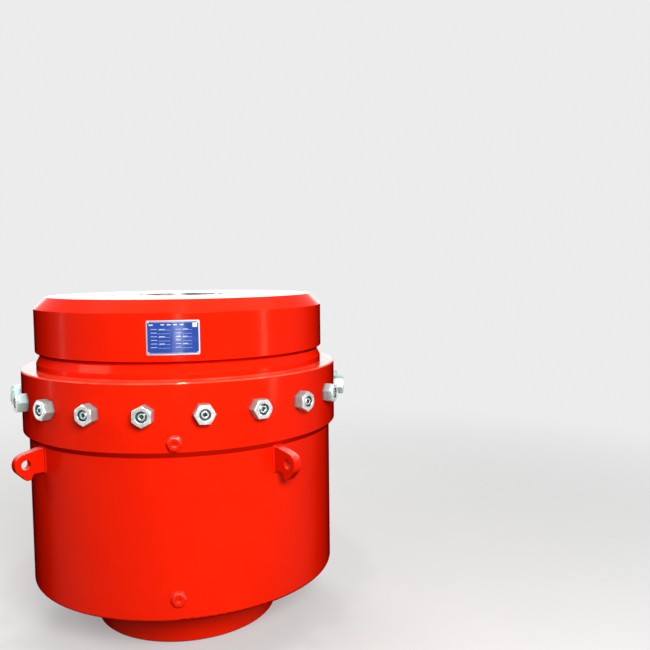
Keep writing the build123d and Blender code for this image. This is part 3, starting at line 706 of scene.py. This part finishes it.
plug_rows, plug_ends = port_plug_rows()
plug_faces = [face[::-1] for face in capped_rows(plug_rows)]
for name, turn in (("opening_port_plug", -7), ("closing_port_plug", 2)):
    low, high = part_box(name)
    matrix = outward(0, -low.y - PLUG_HEAD, (low.z + high.z) / 2)
    points = place_rows(plug_rows + [plug_ends], turn, matrix)[0]
    plug = finish_piece(name + "_painted", points, plug_faces, [plug_enamel])
    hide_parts(name)


# Weld beads round the padeyes' roots
PADEYE_FIRST_ANGLE = 36
PADEYE_STEP = 90
PADEYE_ROOT_HEIGHT = 108 * MM
PADEYE_HALF_THICKNESS = 20 * MM
PADEYE_CORNER = 5 * MM
LOWER_BODY_RADIUS = 737.5 * MM
BEAD_STEP = 1.3 * MM
BEAD_SIDES = 9
BEAD_REACH = 6.45 * MM
BEAD_FLATNESS = 0.72
RIPPLE_HEIGHT, RIPPLE_STEPS = 0.7 * MM, 3.4
WOBBLE_HEIGHT, WOBBLE_STEPS = 0.5 * MM, 6


def weld_bead(angle, foot, top, number):
    """Rippled fillet weld round a padeye's root, on the lower body's skin."""
    rng = random.Random(number)
    middle, half_height = (foot + top) / 2, (top - foot) / 2
    swerve = PADEYE_CORNER + 1.5 * MM
    reach_x = PADEYE_HALF_THICKNESS - PADEYE_CORNER + 1 * MM
    reach_y = half_height - PADEYE_CORNER + 1 * MM
    outline = []
    for quarter in range(4):
        side_x = 1 if quarter in (0, 3) else -1
        side_y = 1 if quarter in (0, 1) else -1
        for step in range(5):
            swing = radians(90 * quarter + 22.5 * step)
            outline.append((side_x * reach_x + swerve * cos(swing), side_y * reach_y + swerve * sin(swing)))
    path = []
    for (x0, y0), (x1, y1) in zip(outline, outline[1:] + outline[:1]):
        steps = max(1, ceil(hypot(x1 - x0, y1 - y0) / BEAD_STEP))
        path += [(x0 + (x1 - x0) * s / steps, y0 + (y1 - y0) * s / steps) for s in range(steps)]
    points, faces = [], []
    wobble = [rng.uniform(-0.5, 0.5) for _ in range(len(path) // WOBBLE_STEPS + 2)]
    for place, (x, y) in enumerate(path):
        before, after = path[place - 1], path[(place + 1) % len(path)]
        way = Vector((after[0] - before[0], after[1] - before[1])).normalized()
        ripple = abs(sin(pi * place / RIPPLE_STEPS)) * RIPPLE_HEIGHT
        reach = BEAD_REACH + ripple + wobble[place // WOBBLE_STEPS] * WOBBLE_HEIGHT
        for step in range(BEAD_SIDES):
            swing = 2 * pi * step / BEAD_SIDES
            offset = cos(swing) * reach + 1.0 * MM
            turn = radians(angle - 90) + (x + way.y * offset) / LOWER_BODY_RADIUS
            radius = LOWER_BODY_RADIUS + sin(swing) * reach * BEAD_FLATNESS
            points.append((radius * cos(turn), radius * sin(turn), middle + y - way.x * offset))
    for place in range(len(path)):
        following = (place + 1) % len(path)
        for step in range(BEAD_SIDES):
            beside = (step + 1) % BEAD_SIDES
            faces.append((place * BEAD_SIDES + step, following * BEAD_SIDES + step,
                          following * BEAD_SIDES + beside, place * BEAD_SIDES + beside))
    return points, faces


for number in PADEYE_NUMBERS:
    low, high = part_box(f"padeye_{number}")
    padeye_angle = PADEYE_FIRST_ANGLE + PADEYE_STEP * (number - 1)
    points, faces = weld_bead(padeye_angle, high.z - PADEYE_ROOT_HEIGHT, high.z, number)
    finish_piece(f"padeye_weld_{number}", points, faces, [fitting_enamel], sharp_angle=80)


# Threads in the stud holes of the top connection, each profile point (radius, share of the pitch down)
STUD_COUNT = 20
STUD_STEP = 360 / STUD_COUNT
STUD_CIRCLE_RADIUS = 336.55 * MM
THREAD_ROOT_RADIUS, THREAD_CREST_RADIUS = 24.1 * MM, 22.4 * MM
THREAD_PITCH = 3.175 * MM
THREAD_TURN_STEPS = 28
THREAD_DEPTH, THREAD_RUN_IN = 74 * MM, 3 * MM
THREAD_PROFILE = ((THREAD_ROOT_RADIUS, 0.12), (THREAD_CREST_RADIUS, 0.44),
                  (THREAD_CREST_RADIUS, 0.56), (THREAD_ROOT_RADIUS, 0.88))


def stud_threads():
    """Closed thread ridges on the walls of the top stud holes, their feet just under the walls' skin."""
    steps = int((THREAD_DEPTH - THREAD_RUN_IN) / THREAD_PITCH) * THREAD_TURN_STEPS
    rails = len(THREAD_PROFILE)
    points, faces = [], []
    for index in range(STUD_COUNT):
        angle = radians(STUD_STEP * (index + 0.5) - 90)
        centre = Vector((cos(angle), sin(angle), 0)) * STUD_CIRCLE_RADIUS
        start = len(points)
        for step in range(steps + 1):
            swing = 2 * pi * step / THREAD_TURN_STEPS
            height = HEAD_TOP - THREAD_RUN_IN - THREAD_PITCH * step / THREAD_TURN_STEPS
            for radius, drop in THREAD_PROFILE:
                points.append((centre.x + radius * cos(swing), centre.y + radius * sin(swing),
                               height - THREAD_PITCH * drop))
        for step in range(steps):
            for rail in range(rails):
                corner, beside = start + step * rails + rail, start + step * rails + (rail + 1) % rails
                faces.append((corner, beside, beside + rails, corner + rails))
        last = start + steps * rails
        faces += [(start + 3, start + 2, start + 1, start), (last, last + 1, last + 2, last + 3)]
    return points, faces


points, faces = stud_threads()
finish_piece("top_stud_threads", points, faces, [thread_steel], sharp_angle=50)


# Nameplate: bent aluminium plate with a raised silver border and blank ruled fields
PLATE_LOW, PLATE_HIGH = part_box("name_plate")
PLATE_CENTRE = (PLATE_LOW.z + PLATE_HIGH.z) / 2
PLATE_HEIGHT = PLATE_HIGH.z - PLATE_LOW.z
PLATE_WIDTH = 220 * MM
PLATE_BACK = HEAD_RADIUS + 0.2 * MM
PLATE_THICKNESS = 2 * MM
PLATE_BASE, PLATE_FIELD, PLATE_PRINT = 1.3 * MM, 1.45 * MM, 1.58 * MM
PLATE_BORDER = 5 * MM
PLATE_FRONT = PLATE_BACK + PLATE_THICKNESS


def bent_panel(across, up, width, height, back, front, corner=0.0, columns=24):
    """Points and faces of a thin closed panel bent round the head, its middle given from the plate's."""
    points, faces = [], []
    for column in range(columns + 1):
        share = (1 - cos(pi * column / columns)) / 2 if corner else column / columns
        x = width * (share - 0.5)
        beyond = max(0.0, abs(x) - (width / 2 - corner))
        drop = corner - sqrt(max(0.0, corner * corner - beyond * beyond)) if corner else 0.0
        turn = radians(-90) + (across + x) / PLATE_FRONT
        for depth, level in ((back, -1), (front, -1), (front, 1), (back, 1)):
            radius = PLATE_BACK + depth
            z = PLATE_CENTRE + up + level * (height / 2 - drop)
            points.append((radius * cos(turn), radius * sin(turn), z))
    for column in range(columns):
        for rail in range(4):
            edge, beside = column * 4 + rail, column * 4 + (rail + 1) % 4
            faces.append((edge, edge + 4, beside + 4, beside))
    last = columns * 4
    faces += [(0, 1, 2, 3), (last + 3, last + 2, last + 1, last)]
    return points, faces


def join_panels(panels):
    """One point and face list, with each panel's material index on its faces."""
    points, faces, indices = [], [], []
    for (panel_points, panel_faces), material_index in panels:
        start = len(points)
        points += panel_points
        faces += [tuple(start + corner for corner in face) for face in panel_faces]
        indices += [material_index] * len(panel_faces)
    return points, faces, indices


def plate_panels():
    """Plate, its raised border strips, the blue field and the blank ruled fields printed on it."""
    silver, blue, white = 0, 1, 2
    width, height = PLATE_WIDTH, PLATE_HEIGHT
    panels = [(bent_panel(0, 0, width, height, 0, PLATE_BASE, 5 * MM, 48), silver)]
    for side in (-1, 1):
        across, up = side * (width - PLATE_BORDER) / 2, side * (height - PLATE_BORDER) / 2
        for strip in ((across, 0, PLATE_BORDER, height - 8 * MM, PLATE_BASE, PLATE_THICKNESS, 0, 3),
                      (0, up, width - 8 * MM, PLATE_BORDER, PLATE_BASE, PLATE_THICKNESS, 0, 40)):
            panels.append((bent_panel(*strip), silver))
    inner_width, inner_height = width - 2 * PLATE_BORDER, height - 2 * PLATE_BORDER
    panels.append((bent_panel(0, 0, inner_width, inner_height, PLATE_BASE, PLATE_FIELD, 2 * MM, 40), blue))

    def rule(x, y, long, thick):
        steps = max(2, ceil(long / (9 * MM)))
        panels.append((bent_panel(x, y, long, thick, PLATE_FIELD, PLATE_PRINT, 0, steps), white))

    top = inner_height / 2
    rule(0, top - 3 * MM, inner_width - 8 * MM, 0.8 * MM)
    rule(0, -top + 3 * MM, inner_width - 8 * MM, 0.8 * MM)
    rule(inner_width / 2 - 15 * MM, top - 15 * MM, 19 * MM, 18 * MM)
    rule(-inner_width / 2 + 15 * MM, top - 14 * MM, 17 * MM, 5 * MM)
    for column in range(4):
        rule(-42 * MM + 26 * MM * column, top - 13 * MM, 15 * MM, 4.2 * MM)
    for row in range(6):
        y = top - 32 * MM - 15 * MM * row
        for x, caption, box in ((-78 * MM, 26 * MM, 48 * MM), (22 * MM, 22 * MM, 40 * MM)):
            rule(x, y, caption, 1.6 * MM)
            box_x = x + caption / 2 + 5 * MM + box / 2
            rule(box_x, y - 3.2 * MM, box, 0.7 * MM)
            if row % 2 == 0:
                rule(box_x - box * 0.18, y, box * 0.5, 2.2 * MM)
    return panels


points, faces, plate_indices = join_panels(plate_panels())
plate = finish_piece("name_plate_sheet", points, faces, [plate_silver, plate_blue, plate_white],
                     plate_indices)
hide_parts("name_plate")

RIVET_RADIUS, RIVET_HEIGHT = 4.5 * MM, 2 * MM
RIVET_INSET = 8 * MM
RIVET_RINGS, RIVET_COLUMNS = 5, 24


def rivet_heads():
    """Four domed rivet heads in the plate's corners."""
    columns = [2 * pi * column / RIVET_COLUMNS for column in range(RIVET_COLUMNS)]
    rows = []
    for ring in range(RIVET_RINGS):
        swing = radians(90) * ring / RIVET_RINGS
        radius, height = RIVET_RADIUS * cos(swing), RIVET_HEIGHT * sin(swing)
        rows.append([Vector((cos(turn) * radius, sin(turn) * radius, height)) for turn in columns])
    single = capped_rows(rows)
    ends = [Vector((0, 0, 0)), Vector((0, 0, RIVET_HEIGHT))]
    points, faces = [], []
    for side in (-1, 1):
        for level in (-1, 1):
            turn = degrees(side * (PLATE_WIDTH / 2 - RIVET_INSET) / PLATE_FRONT)
            height = PLATE_CENTRE + level * (PLATE_HEIGHT / 2 - RIVET_INSET)
            start = len(points)
            points += place_rows(rows + [ends], 0, outward(turn, PLATE_FRONT - 0.1 * MM, height))[0]
            faces += [tuple(start + corner for corner in face) for face in single]
    return points, faces


points, faces = rivet_heads()
rivets = finish_piece("name_plate_rivet_heads", points, faces, [plate_silver])
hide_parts("name_plate_rivets")


# Camera, placed by the turned edges of the photograph: pixels, metres and radians
PHOTO_SIZE = 650
CAMERA_FOCAL = 747.8
CAMERA_DISTANCE = 3.844
CAMERA_HEIGHT = 1.7256
CAMERA_BEARING = radians(3.1)
CAMERA_YAW = 0.1353
CAMERA_PITCH = -0.0766
CAMERA_ROLL = -0.0101
SENSOR_WIDTH = 36


def make_camera():
    """Camera at the photograph's place, bearing counted from the front towards +X."""
    camera = bpy.data.objects.new("photo_camera", bpy.data.cameras.new("photo_camera"))
    camera.data.sensor_width = SENSOR_WIDTH
    camera.data.lens = CAMERA_FOCAL / PHOTO_SIZE * SENSOR_WIDTH
    flat = cos(CAMERA_PITCH)
    forward = Vector((sin(CAMERA_YAW) * flat, cos(CAMERA_YAW) * flat, sin(CAMERA_PITCH)))
    level = Vector((cos(CAMERA_YAW), -sin(CAMERA_YAW), 0))
    upright = level.cross(forward)
    right = level * cos(CAMERA_ROLL) + upright * sin(CAMERA_ROLL)
    up = upright * cos(CAMERA_ROLL) - level * sin(CAMERA_ROLL)
    matrix = Matrix((right, up, -forward)).transposed().to_4x4()
    matrix.translation = Vector((sin(CAMERA_BEARING), -cos(CAMERA_BEARING), 0)) * CAMERA_DISTANCE
    matrix.translation.z = CAMERA_HEIGHT
    camera.matrix_world = matrix
    bpy.context.scene.collection.objects.link(camera)
    bpy.context.scene.camera = camera


make_camera()

# Studio lamps: name, bearing in degrees, distance, height, width, tall, power, height of the point they face
LAMPS = (
    ("key", 15, 6.0, 3.6, 2.4, 1.9, 450, 0.9),
    ("fill", -72, 4.0, 3.9, 2.0, 1.2, 46, 1.2),
    ("ceiling", 0, 0.01, 5.0, 6.0, 6.0, 68, 0.0),
    ("strip_right", 64, 4.6, 1.8, 0.24, 2.6, 34, 1.5),
    ("strip_left", -92, 4.6, 1.8, 0.34, 2.6, 13, 1.5),
    ("back_fill", 190, 5.0, 4.6, 3.0, 2.4, 150, 0.9),
    ("back_glow", 182, 6.5, 2.2, 7.0, 1.8, 38, 1.6),
    ("strip_front", 0.5, 4.6, 1.22, 0.20, 0.5, 11, 1.3),
    ("glint_front", 0, 1.3, 5.0, 0.3, 0.2, 26, 1.2),
    ("glint_right", 87, 2.55, 5.0, 0.4, 0.4, 5, 1.2),
)


def area_light(name, bearing, distance, height, width, tall, power, aim_height):
    """Soft rectangular lamp that faces the object, bearing in degrees from the front towards +X."""
    lamp = bpy.data.objects.new(name, bpy.data.lights.new(name, "AREA"))
    lamp.data.shape = "RECTANGLE"
    lamp.data.size = width
    lamp.data.size_y = tall
    lamp.data.energy = power
    turn = radians(bearing - 90)
    place = Vector((cos(turn) * distance, sin(turn) * distance, height))
    aim = Vector((0, 0, aim_height)) - place
    lamp.matrix_world = Matrix.Translation(place) @ aim.to_track_quat("-Z", "Y").to_matrix().to_4x4()
    bpy.context.scene.collection.objects.link(lamp)


for lamp_row in LAMPS:
    area_light(*lamp_row)

# Pale floor and surroundings: what the eye and gloss see is paler than what lights the object
BACKDROP = 0.84
WORLD_LIGHT = 0.09
FLOOR_HALF = 30
FLOOR_TONES = (0.68, 0.68, 0.67, 1), (0.72, 0.72, 0.71, 1)
FLOOR_BOUNCE = (0.15, 0.145, 0.14, 1)
FLOOR_NEAR, FLOOR_FAR = 1.2, 6.0
FLOOR_NEAR_GLOW = 0.35


def seen_by_eye_or_gloss(tree):
    """One for camera, glossy and transmission rays, and zero for those that light the object."""
    rays = tree.nodes.new("ShaderNodeLightPath")
    seen = calculate(tree, "MAXIMUM", rays.outputs["Is Camera Ray"], rays.outputs["Is Glossy Ray"])
    return calculate(tree, "MAXIMUM", seen, rays.outputs["Is Transmission Ray"])


def studio_floor():
    """Pale floor with a faint unevenness, fading into the surroundings."""
    mesh = bpy.data.meshes.new("studio_floor")
    corners = [(x * FLOOR_HALF, y * FLOOR_HALF, 0) for x, y in ((-1, -1), (1, -1), (1, 1), (-1, 1))]
    mesh.from_pydata(corners, [], [(0, 1, 2, 3)])
    floor = bpy.data.objects.new("studio_floor", mesh)
    bpy.context.scene.collection.objects.link(floor)
    material, tree, output, coordinates = new_material("studio_floor")
    seen = seen_by_eye_or_gloss(tree)
    tone = blend_colours(tree, noise(tree, coordinates, 2.0, 4.0, 0.6), *FLOOR_TONES)
    tone = blend_colours(tree, seen, FLOOR_BOUNCE, tone)
    shader = add_node(tree, "ShaderNodeBsdfDiffuse", {"Color": tone})
    glow = add_node(tree, "ShaderNodeEmission", {"Color": WHITE, "Strength": BACKDROP})
    fade = ramp(tree, vector_length(tree, coordinates), FLOOR_NEAR, FLOOR_FAR, FLOOR_NEAR_GLOW, 1.0)
    far = calculate(tree, "MULTIPLY", seen, fade)
    mix = add_node(tree, "ShaderNodeMixShader", {0: far, 1: shader.outputs[0], 2: glow.outputs[0]})
    tree.links.new(mix.outputs[0], output.inputs[0])
    mesh.materials.append(material)


def studio_world():
    """Even pale surroundings: camera, gloss and glass see them pale, and they light the object softly."""
    world = bpy.data.worlds.new("studio")
    bpy.context.scene.world = world
    world.use_nodes = True
    tree = world.node_tree
    tree.nodes.clear()
    output = tree.nodes.new("ShaderNodeOutputWorld")
    strength = blend_values(tree, seen_by_eye_or_gloss(tree), WORLD_LIGHT, BACKDROP)
    background = add_node(tree, "ShaderNodeBackground", {"Color": WHITE, "Strength": strength})
    tree.links.new(background.outputs[0], output.inputs[0])


studio_floor()
studio_world()
bpy.context.scene.view_settings.view_transform = "Standard"
